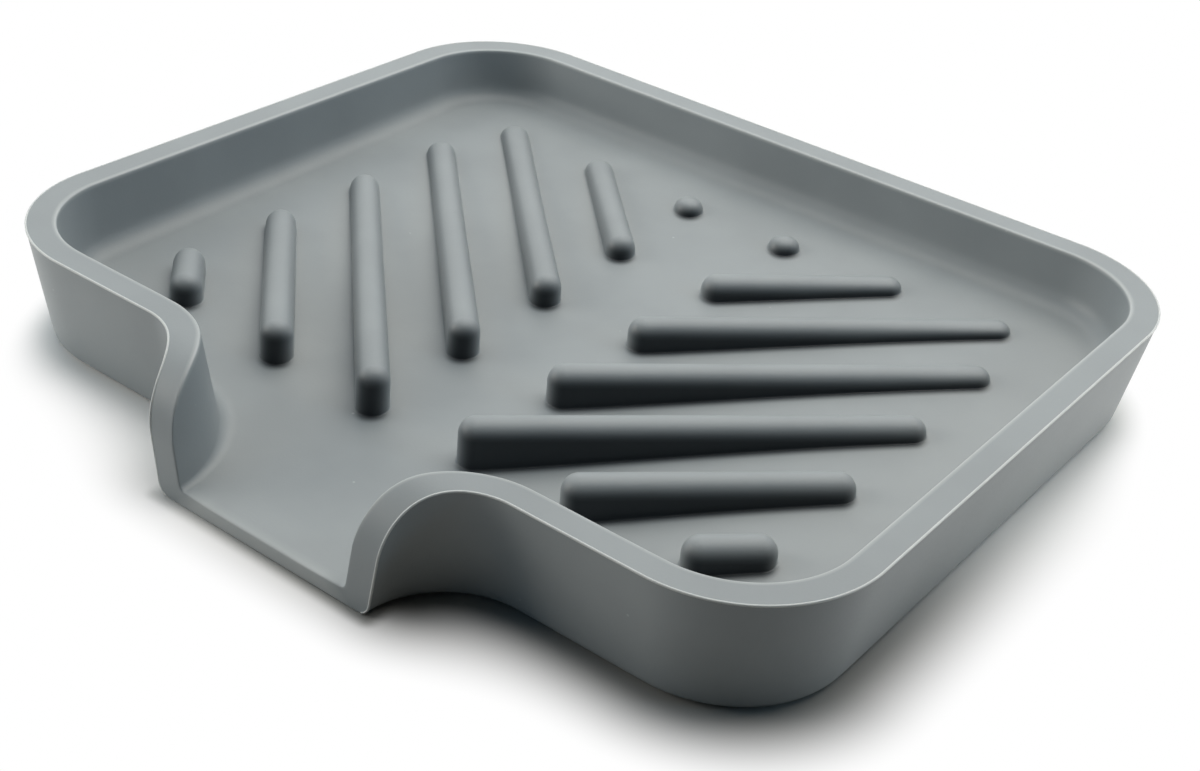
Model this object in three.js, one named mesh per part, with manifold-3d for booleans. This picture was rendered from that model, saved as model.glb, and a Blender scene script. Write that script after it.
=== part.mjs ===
// A draining soap dish in silicone: a shallow tray with leaning walls, a floor that falls to a pouring
// spout at the front, and two fans of level ribs that hold the soap clear of the water.
// Millimetres, +Z up. The origin is the middle of the underside, and the spout points along -Y.
import * as THREE from 'three';
import { mergeVertices } from 'three/addons/utils/BufferGeometryUtils.js';
import Module from 'manifold-3d';

// Tray
const trayLength = 130; // across the rim, side to side
const trayWidth = 106.7; // across the rim, front to back, without the spout
const trayHeight = 16.8;
const cornerRadius = 18.4; // at the outer edge of the rim
const wallThickness = 4;
const wallLean = 2.65; // how far the foot of a wall lies inside its rim
const rimRound = 0.8; // rounding of the rim's inner edge
const floorFillet = 3; // between the walls and the floor
const footRound = 1.8; // between the walls and the underside

// Spout
const spoutWidth = 34.4; // between the outer feet of its two cheeks
const spoutReach = 11.9; // from the foot of the front wall to the lip, and the turn of the cheeks' feet
const cheekRound = 8.5; // rounding of the cheeks, seen from the side
const lipFillet = 0.6; // between the cheeks and the floor at the lip

// Floor
const floorBackHeight = 8.8; // along the back wall
const lipThickness = 2; // the floor's height at the lip
const sideFall = 2.3; // how far the floor falls along a side wall, back to front

// Ribs
const ribCount = 7; // in each fan
const ribWidth = 4.4;
const ribRise = 1.1; // from the floor's highest line to the top of the ribs
const ribTurn = THREE.MathUtils.degToRad(45); // from the side-to-side direction
const ribFirstGap = 6.54; // from the front outer corner of a fan to the middle of its first rib
const ribLastGap = 3.28; // from the back inner corner of a fan to the middle of its last rib
const channelWidth = 12.8; // the bare floor between the two fans
const ribSideGap = 15.2; // from the outer edge of the rim to the tips of the ribs, at the sides
const ribFrontGap = 15.7; // the same, at the front
const ribBackGap = 15.9; // the same, at the back
const ribSeat = 0.3; // clearance between a rib and the floor that it stands on

// Facets
const cornerSteps = 9;
const cheekSteps = 12;
const runStep = 8; // longest step along a straight wall
const filletSteps = 3;
const footSteps = 3;
const floorRings = 12;
const ribEndSteps = 6;
const ribCrownSteps = 4;

const silicone = new THREE.MeshStandardMaterial({ color: 0x939796, roughness: 0.75, metalness: 0 });

const halfLength = trayLength / 2;
const halfWidth = trayWidth / 2;
const leanSlope = wallLean / trayHeight;
const leanAngle = Math.atan(leanSlope);
const frontFoot = wallLean - halfWidth;
const lipFront = frontFoot - spoutReach;
const cheekCentre = spoutWidth / 2 + spoutReach;
const cheekRadius = spoutReach - wallLean;
const ribRadius = ribWidth / 2;
const ribTop = floorBackHeight + ribRise;

const wasm = await Module();
wasm.setup();

// Solids

function geometryOf(points, faces) {
  const geometry = new THREE.BufferGeometry();
  geometry.setAttribute('position', new THREE.Float32BufferAttribute(points.flat(), 3));
  geometry.setIndex(faces.flat());
  return geometry;
}

function toSolid(geometry) {
  geometry.deleteAttribute('normal');
  geometry.deleteAttribute('uv');
  const merged = mergeVertices(geometry);
  return new wasm.Manifold(new wasm.Mesh({
    numProp: 3,
    vertProperties: merged.getAttribute('position').array,
    triVerts: new Uint32Array(merged.getIndex().array),
  }));
}

function toMesh(name, solid) {
  const { vertProperties, triVerts } = solid.getMesh();
  const mesh = new THREE.Mesh(geometryOf([...vertProperties], [...triVerts]), silicone);
  mesh.name = name;
  return mesh;
}

// Two triangles between neighbouring points of two rings.
function quad(a, b, c, d) {
  return [[a, b, c], [a, c, d]];
}

// The rim's outer edge, seen from above. A station is a place on it and the way out of the tray there.

function arc(centreX, centreY, radius, fromDegrees, toDegrees, steps, outward) {
  return Array.from({ length: steps + 1 }, (_, i) => {
    const angle = THREE.MathUtils.degToRad(THREE.MathUtils.lerp(fromDegrees, toDegrees, i / steps));
    const ray = new THREE.Vector2(Math.cos(angle), Math.sin(angle));
    const place = ray.clone().multiplyScalar(radius).add(new THREE.Vector2(centreX, centreY));
    return { place, out: ray.multiplyScalar(outward) };
  });
}

// Joins stretches of stations, with steps along the straight wall from each one to the next.
function joinStretches(stretches) {
  const stations = [];
  for (const stretch of stretches) {
    const last = stations.at(-1);
    if (last) {
      const steps = Math.ceil(last.place.distanceTo(stretch[0].place) / runStep);
      for (let i = 1; i < steps; i += 1) {
        stations.push({ place: last.place.clone().lerp(stretch[0].place, i / steps), out: last.out });
      }
    }
    stations.push(...stretch);
  }
  return stations;
}

function rimStations() {
  const cornerX = halfLength - cornerRadius;
  const cornerY = halfWidth - cornerRadius;
  return joinStretches([
    arc(cheekCentre, lipFront, cheekRadius, 180, 90, cheekSteps, -1),
    arc(cornerX, -cornerY, cornerRadius, -90, 0, cornerSteps, 1),
    arc(cornerX, cornerY, cornerRadius, 0, 90, cornerSteps, 1),
    arc(-cornerX, cornerY, cornerRadius, 90, 180, cornerSteps, 1),
    arc(-cornerX, -cornerY, cornerRadius, 180, 270, cornerSteps, 1),
    arc(-cheekCentre, lipFront, cheekRadius, 90, 0, cheekSteps, -1),
  ]);
}

// The floor

// The faces of a wall, as their distance inside the rim's outer edge.
function outerFace(height) {
  return leanSlope * (trayHeight - height);
}

function innerFace(height) {
  return wallThickness + outerFace(height);
}

const floorBack = halfWidth - innerFace(floorBackHeight);
const floorSide = halfLength - innerFace(floorBackHeight);
const lipFall = floorBackHeight - lipThickness;
const sideFallAtLip = sideFall * (floorBack - lipFront) / (2 * floorBack);

// Falls evenly from the back wall to the lip, most in line with the spout and least along the sides.
function floorHeight(x, y) {
  const towardsLip = (floorBack - y) / (floorBack - lipFront);
  const towardsSide = THREE.MathUtils.smoothstep(Math.abs(x), channelWidth / 2, floorSide);
  return floorBackHeight - towardsLip * THREE.MathUtils.lerp(lipFall, sideFallAtLip, towardsSide);
}

// The wall's section at a station, from the underside over the rim to the edge of the floor. The floor's
// fillet thins out along the cheeks.
function wallSection({ place, out }) {
  const at = (inset, height) => [place.x - inset * out.x, place.y - inset * out.y, height];
  const fromLip = THREE.MathUtils.smoothstep(place.y, lipFront, frontFoot);
  const fillet = THREE.MathUtils.lerp(lipFillet, floorFillet, fromLip);
  const [floorX, floorY] = at(innerFace(floorBackHeight) + fillet, 0);
  const filletHeight = floorHeight(floorX, floorY) + fillet;
  const filletInset = innerFace(filletHeight) + fillet / Math.cos(leanAngle);
  const footInset = outerFace(footRound) + footRound / Math.cos(leanAngle);
  const section = [];
  for (let i = 0; i <= footSteps; i += 1) {
    const angle = THREE.MathUtils.lerp(-0.5 * Math.PI, -leanAngle, i / footSteps);
    section.push(at(footInset - footRound * Math.cos(angle), footRound * (1 + Math.sin(angle))));
  }
  section.push(
    at(0, trayHeight),
    at(wallThickness - rimRound, trayHeight),
    at(innerFace(trayHeight - rimRound), trayHeight - rimRound),
  );
  for (let i = 0; i <= filletSteps; i += 1) {
    const angle = THREE.MathUtils.lerp(Math.PI + leanAngle, 1.5 * Math.PI, i / filletSteps);
    const inset = filletInset + fillet * Math.cos(angle);
    section.push(at(inset, filletHeight + fillet * Math.sin(angle)));
  }
  return section;
}

const sections = rimStations().map(wallSection);

// Rings that shrink from the edge of the floor, lip included, towards the middle of the tray.
function floorLoops(lift) {
  const edge = sections.map((section) => section.at(-1));
  const lipSteps = Math.ceil((edge[0][0] - edge.at(-1)[0]) / runStep);
  for (let i = 1; i < lipSteps; i += 1) {
    const x = THREE.MathUtils.lerp(edge[sections.length - 1][0], edge[0][0], i / lipSteps);
    edge.push([x, lipFront, floorHeight(x, lipFront)]);
  }
  const loops = [edge.map(([x, y, height]) => [x, y, height + lift])];
  for (let ring = 1; ring < floorRings; ring += 1) {
    const share = 1 - ring / floorRings;
    loops.push(edge.map(([x, y]) => [share * x, share * y, floorHeight(share * x, share * y) + lift]));
  }
  return loops;
}

// Fills the inside of the outermost ring, whose points start at first, with rings and a middle point.
function ringFaces(first, ringCount, ringSize) {
  const faces = [];
  for (let ring = 0; ring < ringCount; ring += 1) {
    const outer = first + ring * ringSize;
    const inner = outer + ringSize;
    for (let i = 0; i < ringSize; i += 1) {
      const next = (i + 1) % ringSize;
      if (ring < ringCount - 1) {
        faces.push(...quad(outer + i, outer + next, inner + next, inner + i));
      } else {
        faces.push([outer + i, outer + next, inner]);
      }
    }
  }
  return faces;
}

// A plug that fills the tray up to the floor, raised by the clearance under the ribs.
function floorPlug() {
  const loops = floorLoops(ribSeat);
  const size = loops[0].length;
  const points = [...loops.flat(), [0, 0, floorHeight(0, 0) + ribSeat]];
  const faces = ringFaces(0, loops.length, size);
  const foot = points.length;
  points.push(...loops[0].map(([x, y]) => [x, y, -trayHeight]), [0, 0, -trayHeight]);
  for (let i = 0; i < size; i += 1) {
    const next = (i + 1) % size;
    faces.push(...quad(foot + i, foot + next, next, i), [foot + next, foot + i, foot + size]);
  }
  return toSolid(geometryOf(points, faces));
}

// The tray

// Lofts the wall's section round the rim and closes it with the floor, the underside and the front.
function trayLoft() {
  const rows = sections[0].length;
  const points = sections.flat();
  const faces = [];
  for (let i = 0; i < sections.length - 1; i += 1) {
    for (let row = 0; row < rows - 1; row += 1) {
      const here = i * rows + row;
      const next = here + rows;
      faces.push(...quad(here, next, next + 1, here + 1));
    }
  }
  const lastFoot = (sections.length - 1) * rows;
  for (let row = 1; row < rows - 1; row += 1) {
    faces.push([0, row, row + 1], [lastFoot, lastFoot + row + 1, lastFoot + row]);
  }
  const loops = floorLoops(0);
  const size = loops[0].length;
  const floor = points.length;
  points.push(...loops.flat(), [0, 0, floorHeight(0, 0)]);
  faces.push(...ringFaces(floor, loops.length, size));
  const middle = points.length;
  points.push([0, 0, 0]);
  for (let i = 0; i < sections.length - 1; i += 1) {
    faces.push([(i + 1) * rows, i * rows, middle]);
  }
  faces.push([0, lastFoot, middle]);
  for (let i = sections.length - 1; i < size; i += 1) {
    faces.push([lastFoot, floor + (i + 1) % size, floor + i]);
  }
  faces.push([lastFoot, 0, floor]);
  return toSolid(geometryOf(points, faces));
}

// What the rounding takes off the cheeks: the space over an arc, right across the spout.
function cheekCut() {
  const past = trayHeight;
  const profile = new THREE.Shape();
  profile.moveTo(lipFront - past, trayHeight + past);
  profile.lineTo(lipFront - past, trayHeight - cheekRound);
  profile.lineTo(lipFront, trayHeight - cheekRound);
  profile.absarc(lipFront + cheekRound, trayHeight - cheekRound, cheekRound, Math.PI, Math.PI / 2, true);
  profile.lineTo(lipFront + cheekRound, trayHeight + past);
  profile.closePath();
  const depth = 2 * cheekCentre;
  const options = { depth, bevelEnabled: false, curveSegments: cheekSteps };
  const geometry = new THREE.ExtrudeGeometry(profile, options);
  geometry.translate(0, 0, -depth / 2);
  geometry.rotateX(Math.PI / 2);
  geometry.rotateZ(Math.PI / 2);
  return toSolid(geometry);
}

// The ribs

// A bar with a round crown and round ends between two points, cut to the floor below it.
function ribSolid(start, end, plug) {
  const points = [];
  const faces = [];
  const alongX = Math.atan2(end.y - start.y, end.x - start.x);
  const size = 2 * (ribEndSteps + 1);
  const rings = [[ribRadius, 0]];
  for (let i = 0; i < ribCrownSteps; i += 1) {
    const angle = 0.5 * Math.PI * i / ribCrownSteps;
    rings.push([ribRadius * Math.cos(angle), ribTop - ribRadius * (1 - Math.sin(angle))]);
  }
  for (const [radius, height] of rings) {
    for (let i = 0; i < size; i += 1) {
      const atEnd = i <= ribEndSteps;
      const turn = (atEnd ? i : i - 1) / ribEndSteps;
      const angle = alongX + Math.PI * (turn - 0.5);
      const centre = atEnd ? end : start;
      points.push([centre.x + radius * Math.cos(angle), centre.y + radius * Math.sin(angle), height]);
    }
  }
  for (let ring = 0; ring < rings.length - 1; ring += 1) {
    for (let i = 0; i < size; i += 1) {
      const next = (i + 1) % size;
      const low = ring * size;
      faces.push(...quad(low + i, low + next, low + size + next, low + size + i));
    }
  }
  const last = (rings.length - 1) * size;
  const ridgeEnd = points.length;
  const ridgeStart = ridgeEnd + 1;
  points.push([end.x, end.y, ribTop], [start.x, start.y, ribTop]);
  for (let i = 0; i < ribEndSteps; i += 1) {
    faces.push([last + i, last + i + 1, ridgeEnd]);
    faces.push([last + ribEndSteps + 1 + i, last + ribEndSteps + 2 + i, ridgeStart]);
  }
  faces.push(...quad(last + ribEndSteps, last + ribEndSteps + 1, ridgeStart, ridgeEnd));
  faces.push(...quad(last + size - 1, last, ridgeEnd, ridgeStart));
  for (let i = 1; i < size - 1; i += 1) {
    faces.push([0, i + 1, i]);
  }
  return toSolid(geometryOf(points, faces)).subtract(plug);
}

// The middle lines of one fan's ribs, evenly spaced, on the side where x is positive.
function ribLines() {
  const front = new THREE.Vector2(halfLength - ribSideGap, ribFrontGap - halfWidth);
  const back = new THREE.Vector2(channelWidth / 2, halfWidth - ribBackGap);
  const low = new THREE.Vector2(back.x + ribRadius, front.y + ribRadius);
  const high = new THREE.Vector2(front.x - ribRadius, back.y - ribRadius);
  const along = new THREE.Vector2(Math.cos(ribTurn), Math.sin(ribTurn));
  const across = new THREE.Vector2(-along.y, along.x);
  const lastStep = back.clone().sub(front).dot(across) - ribLastGap;
  return Array.from({ length: ribCount }, (_, i) => {
    const step = THREE.MathUtils.lerp(ribFirstGap, lastStep, i / (ribCount - 1));
    const place = front.clone().addScaledVector(across, step);
    const toLow = Math.max((low.x - place.x) / along.x, (low.y - place.y) / along.y);
    const toHigh = Math.min((high.x - place.x) / along.x, (high.y - place.y) / along.y);
    return [toLow, toHigh].map((reach) => place.clone().addScaledVector(along, reach));
  });
}

function mirrored(point) {
  return new THREE.Vector2(-point.x, point.y);
}

const dish = new THREE.Group();
dish.name = 'soap_dish';
dish.add(toMesh('tray_shell', trayLoft().subtract(cheekCut())));
const plug = floorPlug();
ribLines().forEach(([inner, outer], i) => {
  dish.add(toMesh(`rib_right_${i + 1}`, ribSolid(inner, outer, plug)));
  dish.add(toMesh(`rib_left_${i + 1}`, ribSolid(mirrored(inner), mirrored(outer), plug)));
});

export default dish;
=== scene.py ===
"""Builds a silicone soap dish with a pouring spout and two fans of ribs around its CAD frame."""
import math
from typing import NamedTuple

import bmesh
import bpy
from bpy.props import FloatProperty, FloatVectorProperty, IntProperty, PointerProperty
from mathutils import Matrix, Vector


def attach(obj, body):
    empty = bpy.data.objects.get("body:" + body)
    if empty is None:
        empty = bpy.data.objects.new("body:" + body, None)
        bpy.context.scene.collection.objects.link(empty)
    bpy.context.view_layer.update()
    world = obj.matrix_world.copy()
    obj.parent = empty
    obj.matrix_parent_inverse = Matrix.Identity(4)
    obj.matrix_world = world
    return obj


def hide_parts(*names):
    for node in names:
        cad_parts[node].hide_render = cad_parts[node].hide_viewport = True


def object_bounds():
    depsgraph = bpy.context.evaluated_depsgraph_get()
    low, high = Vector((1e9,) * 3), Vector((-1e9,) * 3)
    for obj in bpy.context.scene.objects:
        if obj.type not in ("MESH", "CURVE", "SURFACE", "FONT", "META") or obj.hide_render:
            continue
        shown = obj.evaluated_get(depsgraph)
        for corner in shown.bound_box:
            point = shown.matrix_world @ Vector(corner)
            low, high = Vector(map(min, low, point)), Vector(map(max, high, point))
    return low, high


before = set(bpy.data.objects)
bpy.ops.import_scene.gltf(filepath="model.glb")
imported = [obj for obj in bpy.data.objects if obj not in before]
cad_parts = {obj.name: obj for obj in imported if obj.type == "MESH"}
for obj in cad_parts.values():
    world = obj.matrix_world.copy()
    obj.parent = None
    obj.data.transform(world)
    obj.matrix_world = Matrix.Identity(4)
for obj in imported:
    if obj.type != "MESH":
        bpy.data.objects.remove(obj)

bl_info = {
    "name": "Soap dish",
    "version": (1, 0, 0),
    "blender": (4, 5, 0),
    "location": "View3D > Sidebar > Soap dish",
    "description": "Builds a silicone soap dish with a pouring spout and draining ribs",
    "category": "Add Mesh",
}

CAD_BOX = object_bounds()
BODY = "root"
# Name of the mask for the painted highlight on the rim's inner edge and the painted light on the lip
HIGHLIGHT_MASK = "edge"
# Name of the mask for painted shade on the floor and down the sides of the ribs
SHADE_MASK = "hollow"

# Facets of the tray's control mesh, before it is subdivided
CORNER_STEPS = 14
CHEEK_FALL_STEPS = 7
CHEEK_TURN_STEPS = 6
RUN_STEP = 0.009
OUTER_ROWS = 4
FOOT_STEPS = 4
FILLET_STEPS = 5
INNER_ROWS = OUTER_ROWS + FOOT_STEPS - FILLET_STEPS
LIP_STEPS = 8
FLOOR_RINGS = 9
UNDERSIDE_RINGS = 2
SUBDIVISIONS = 2
SETTLE_STEPS = 12

# Facets of the bead and of a rib
BEAD_REFINE = 3
BEAD_FACETS = 10
RIB_END_STEPS = 16
RIB_RUN_STEPS = 20
RIB_CROWN_STEPS = 8
RIB_FOOT_STEPS = 5
RIB_FOOT_ROW = RIB_CROWN_STEPS + 1
RIB_SINK_ROW = RIB_FOOT_ROW + RIB_FOOT_STEPS + 1
RIB_LAST_ROW = RIB_SINK_ROW + 1
# Row from which painted shade darkens a rib's sides towards its foot
RIB_SHADE_ROW = RIB_CROWN_STEPS * 0.3
MERGE_DISTANCE = 0.000004

# Silicone
SILICONE_IOR = 1.41
CLOUD_DETAIL = 3.0
CLOUD_LOW, CLOUD_HIGH = 0.3, 0.7
GRAIN_DETAIL = 2.0
SPECK_STRENGTH = 0.7
# Least share of the edge tone, which paints light on the lip and a highlight on the bead
LIP_HIGHLIGHT = 0.5
BEAD_HIGHLIGHT = 0.8

# Camera and stage, with shares of the tray's width
SENSOR_WIDTH = 36.0
CLIP_START = 0.01
TABLE_REACH = 3.0
TABLE_DEPTH = 0.00003
FADE_SHARE = 1 / 3
SHADE_START_SHARE = 0.25
SHADE_STOP_SHARE = 0.6
FLAG_TONE = (0.01, 0.01, 0.01, 1.0)
WHITE = (1.0, 1.0, 1.0, 1.0)

# Sockets of a Mix node for colours
MIX_FACTOR, MIX_FIRST, MIX_SECOND = 0, 6, 7
MIX_RESULT = 2


# Sizes and finishes


def length(name, default, description):
    """A length in metres."""
    return FloatProperty(
        name=name, description=description, default=default, min=0.0, unit="LENGTH", precision=5
    )


def share(name, default, description):
    """A number from 0 to 1."""
    return FloatProperty(
        name=name, description=description, default=default, min=0.0, max=1.0, subtype="FACTOR"
    )


def angle(name, degrees, description):
    """An angle, given in degrees."""
    return FloatProperty(name=name, description=description, default=math.radians(degrees), subtype="ANGLE")


def colour(name, default, description):
    """A linear colour."""
    return FloatVectorProperty(
        name=name, description=description, default=default, size=3, min=0.0, max=1.0, subtype="COLOR"
    )


def power(name, default, description):
    """The power of a lamp in watts."""
    return FloatProperty(name=name, description=description, default=default, min=0.0, unit="POWER")


def offset(name, default, description):
    """A place or a shift in metres."""
    return FloatVectorProperty(
        name=name, description=description, default=default, size=len(default), subtype="TRANSLATION"
    )


class TraySizes(bpy.types.PropertyGroup):
    """Sizes of the walls, the floor and the spout."""

    length: length("Length", CAD_BOX[1].x - CAD_BOX[0].x, "Across the rim, side to side")
    width: length("Width", 2 * CAD_BOX[1].y, "Across the rim, front to back, without the spout")
    height: length("Height", CAD_BOX[1].z - CAD_BOX[0].z, "From the table to the rim")
    corner_radius: length("Corner radius", 0.0184, "At the outer edge of the rim")
    wall_thickness: length("Wall thickness", 0.004, "Measured level")
    wall_lean: length("Wall lean", 0.00265, "How far the foot of a wall lies inside its rim")
    floor_fillet: length("Floor fillet", 0.003, "Rounding between the walls and the floor")
    foot_round: length("Foot rounding", 0.0018, "Rounding between the walls and the underside")
    outer_round: length("Outer edge rounding", 0.0003, "Softness of the rim's outer edge")
    inner_round: length("Inner edge rounding", 0.0005, "Softness of the rim's inner edge")
    spout_width: length("Spout width", 0.0344, "Between the outer feet of the cheeks")
    spout_reach: length("Spout reach", 0.0119, "From the foot of the front wall to the lip")
    cheek_round: length("Cheek rounding", 0.0085, "Rounding of the cheeks, seen from the side")
    floor_height: length("Floor height", 0.0088, "Height of the floor along the back wall")
    lip_thickness: length("Lip thickness", 0.002, "Height of the floor at the lip")
    lip_fillet: length("Lip fillet", 0.0008, "Rounding between the cheeks and the floor at the lip")
    side_fall: length("Side fall", 0.0023, "How far the floor falls along a side wall")
    bead_radius: length("Bead radius", 0.00016, "Parting line along the outer edge of the rim")
    bead_rise: length("Bead rise", 0.00005, "How far the parting line stands proud")


class RibSizes(bpy.types.PropertyGroup):
    """Sizes of the two fans of ribs."""

    count: IntProperty(name="Count", description="Ribs in each fan", default=7, min=2)
    width: length("Width", 0.0044, "Across a rib")
    rise: length("Rise", 0.0011, "From the floor's highest line to the top of the ribs")
    foot_fillet: length("Foot fillet", 0.0002, "Rounding between a rib and the floor")
    sink: length("Sink", 0.0001, "How deep a rib's foot lies in the floor")
    turn: angle("Turn", 45, "From the side-to-side direction")
    first_gap: length("First gap", 0.00654, "From the front outer corner of a fan to its first rib's middle")
    last_gap: length("Last gap", 0.00328, "From the back inner corner of a fan to its last rib's middle")
    channel_width: length("Channel width", 0.0128, "Bare floor between the fans")
    side_gap: length("Side gap", 0.0152, "From the rim's outer edge to the tips at the sides")
    front_gap: length("Front gap", 0.0157, "From the rim's outer edge to the tips at the front")
    back_gap: length("Back gap", 0.0159, "From the rim's outer edge to the tips at the back")


class SiliconeFinish(bpy.types.PropertyGroup):
    """Colours and textures of the moulded silicone, with painted shade and a painted highlight."""

    deep: colour("Deep tone", (0.277, 0.291, 0.290), "Darker tone of the mottling")
    pale: colour("Pale tone", (0.312, 0.326, 0.324), "Lighter tone of the mottling")
    # The edge tone is a painted highlight on the rim's edges and the bead, and painted light on the lip
    edge: colour("Edge tone", (0.72, 0.71, 0.67), "Rubbed tone along the rim's edges")
    speck: colour("Speck tone", (0.46, 0.47, 0.46), "Lint and dust")
    # The film tone is painted shade round the feet of the ribs, shifted the way a cast shadow falls
    painted_shade: colour("Film tone", (0.010, 0.014, 0.018), "Dark film round the feet of the ribs")
    painted_shade_depth: length("Film depth", 0.0014, "How far inside its outline the film is full")
    painted_shade_fade: length("Film fade", 0.0005, "How far outside its outline the film ends")
    painted_shade_drift: offset("Film drift", (0.0007, -0.0010), "How far and which way the film has run")
    roughness: share("Roughness", 0.46, "Roughness of the moulded faces")
    roughness_spread: share("Roughness spread", 0.12, "How much the grain and the mottling change it")
    # How strong the painted highlight is on the rim's inner edge
    edge_highlight: share("Edge wear", 0.55, "How far the edge tone shows on the rim's inner edge")
    cloud_size: length("Cloud size", 0.018, "Size of the mottling")
    grain_size: length("Grain size", 0.00035, "Size of the mould's fine grain")
    grain_depth: length("Grain depth", 0.00001, "Depth of the mould's fine grain")
    speck_spacing: length("Speck spacing", 0.007, "Distance between specks")
    speck_size: length("Speck size", 0.00012, "Radius of a speck")


class StudioSettings(bpy.types.PropertyGroup):
    """Camera, table and light."""

    camera_turn: angle("Camera turn", 34.612, "From straight in front of the spout")
    camera_rise: angle("Camera rise", 31.622, "Above the horizon")
    camera_roll: angle("Camera roll", 5.68, "Turn about the line of sight")
    camera_distance: length("Camera distance", 0.24939, "From the camera to its aim on the table")
    camera_aim: offset("Camera aim", (0.005575, -0.004691, 0.0), "Where the line of sight meets the table")
    focal_length: FloatProperty(
        name="Focal length", description="For a sensor 36 mm wide", default=54.58, unit="CAMERA"
    )
    window_power: power("Window power", 1.5, "Broad light behind the dish")
    ceiling_power: power("Ceiling power", 11.0, "Broad light above the dish")
    left_power: power("Left power", 2.6, "Low light from the left")
    right_power: power("Right power", 1.5, "Cool light from the right")
    strip_power: power("Strip power", 0.14, "Low strip of light along the right wall")
    lamp_tone: colour("Lamps", (1.0, 0.945, 0.86), "Colour of the lamps")
    flag_size: length("Flag size", 0.8, "Side of the black flag behind the camera")
    flag_shift: offset("Flag shift", (0.15, -0.08), "From the line of sight to the middle of the black flag")
    flag_distance: length("Flag distance", 0.31, "From the aim on the table to the black flag")
    table_tone: colour("Table", (0.92, 0.885, 0.84), "White table")
    shade_tone: colour("Table in front", (0.33, 0.315, 0.29), "Table in the shade in front of the dish")
    sky_tone: colour("Sky", (0.38, 0.70, 1.0), "Light from all around")
    sky_level: share("Sky level", 0.5, "Strength of the light from all around")
    near_fade: length("Near fade", 0.0122, "How far in front of the dish the table turns plain white")
    far_fade: length("Far fade", 0.005, "How far behind the dish the table turns plain white")
    lip_fade: length("Lip fade", 0.0022, "How far from the lip the table turns plain white")


class Lamp(NamedTuple):
    """An area lamp: its place, its two sides, and the settings that hold its power and tone."""

    name: str
    place: tuple
    sides: tuple
    power: str
    tone: str


LAMPS = (
    Lamp("window", (-0.45, 0.60, 0.60), (1.1, 1.1), "window_power", "lamp_tone"),
    Lamp("ceiling", (0.05, 0.36, 0.95), (1.2, 1.2), "ceiling_power", "lamp_tone"),
    Lamp("left_panel", (-0.62, -0.40, 0.26), (0.4, 0.4), "left_power", "lamp_tone"),
    Lamp("right_panel", (0.60, 0.10, 0.38), (0.3, 0.3), "right_power", "sky_tone"),
    Lamp("right_strip", (0.20, 0.17, 0.009), (0.16, 0.016), "strip_power", "lamp_tone"),
)


# Node trees


class Wire:
    """An output of a node. Python's operators on it add Math nodes to its tree."""

    def __init__(self, tree, socket):
        self.tree = tree
        self.socket = socket

    def output(self, name):
        """Another output of the same node."""
        return Wire(self.tree, self.socket.node.outputs[name])

    def __add__(self, other):
        return self.tree.math("ADD", self, other)

    __radd__ = __add__

    def __sub__(self, other):
        return self.tree.math("SUBTRACT", self, other)

    def __rsub__(self, other):
        return self.tree.math("SUBTRACT", other, self)

    def __mul__(self, other):
        return self.tree.math("MULTIPLY", self, other)

    __rmul__ = __mul__

    def __truediv__(self, other):
        return self.tree.math("DIVIDE", self, other)

    def __mod__(self, other):
        return self.tree.math("MODULO", self, other)

    def __gt__(self, other):
        return self.tree.math("GREATER_THAN", self, other)

    def __abs__(self):
        return self.tree.math("ABSOLUTE", self)

    def floor(self):
        return self.tree.math("FLOOR", self)

    def rounded(self):
        return (self + 0.5).floor()

    def root(self):
        return self.tree.math("SQRT", self)

    def sine(self):
        return self.tree.math("SINE", self)

    def cosine(self):
        return self.tree.math("COSINE", self)

    def at_most(self, other):
        return self.tree.math("MINIMUM", self, other)

    def at_least(self, other):
        return self.tree.math("MAXIMUM", self, other)


class Tree:
    """A node tree that is filled by expressions."""

    def __init__(self, node_tree):
        self.nodes = node_tree.nodes
        self.links = node_tree.links

    def add(self, kind, settings=None, inputs=None, output=0):
        """Adds a node, sets it, joins its inputs and gives one of its outputs."""
        node = self.nodes.new(kind)
        for name, value in (settings or {}).items():
            setattr(node, name, value)
        for key, value in (inputs or {}).items():
            if isinstance(value, Wire):
                self.links.new(value.socket, node.inputs[key])
            else:
                node.inputs[key].default_value = value
        return Wire(self, node.outputs[output]) if node.outputs else None

    def math(self, operation, first, second=0.0):
        """A Math node."""
        return self.add("ShaderNodeMath", {"operation": operation}, {0: first, 1: second})

    def ramp(self, value, start, stop):
        """0 at start, 1 at stop, and smooth between them."""
        return self.add(
            "ShaderNodeMapRange",
            {"interpolation_type": "SMOOTHSTEP"},
            {"Value": value, "From Min": start, "From Max": stop},
        )

    def blend(self, factor, first, second):
        """A mix of two colours."""
        inputs = {MIX_FACTOR: factor, MIX_FIRST: first, MIX_SECOND: second}
        return self.add("ShaderNodeMix", {"data_type": "RGBA"}, inputs, output=MIX_RESULT)


def empty_tree(owner):
    """The cleared node tree of a material or a world."""
    owner.use_nodes = True
    owner.node_tree.nodes.clear()
    return Tree(owner.node_tree)


def node_group(name, sockets):
    """A Geometry Nodes tree with named inputs, its builder and the wires of its inputs."""
    group = bpy.data.node_groups.new(name, "GeometryNodeTree")
    group.interface.new_socket(name="Geometry", in_out="INPUT", socket_type="NodeSocketGeometry")
    for label, kind in sockets.items():
        group.interface.new_socket(name=label, in_out="INPUT", socket_type=kind)
    group.interface.new_socket(name="Geometry", in_out="OUTPUT", socket_type="NodeSocketGeometry")
    tree = Tree(group)
    first = tree.add("NodeGroupInput")
    wires = {label: first.output(label) for label in ("Geometry", *sockets)}
    return group, tree, wires


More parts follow.
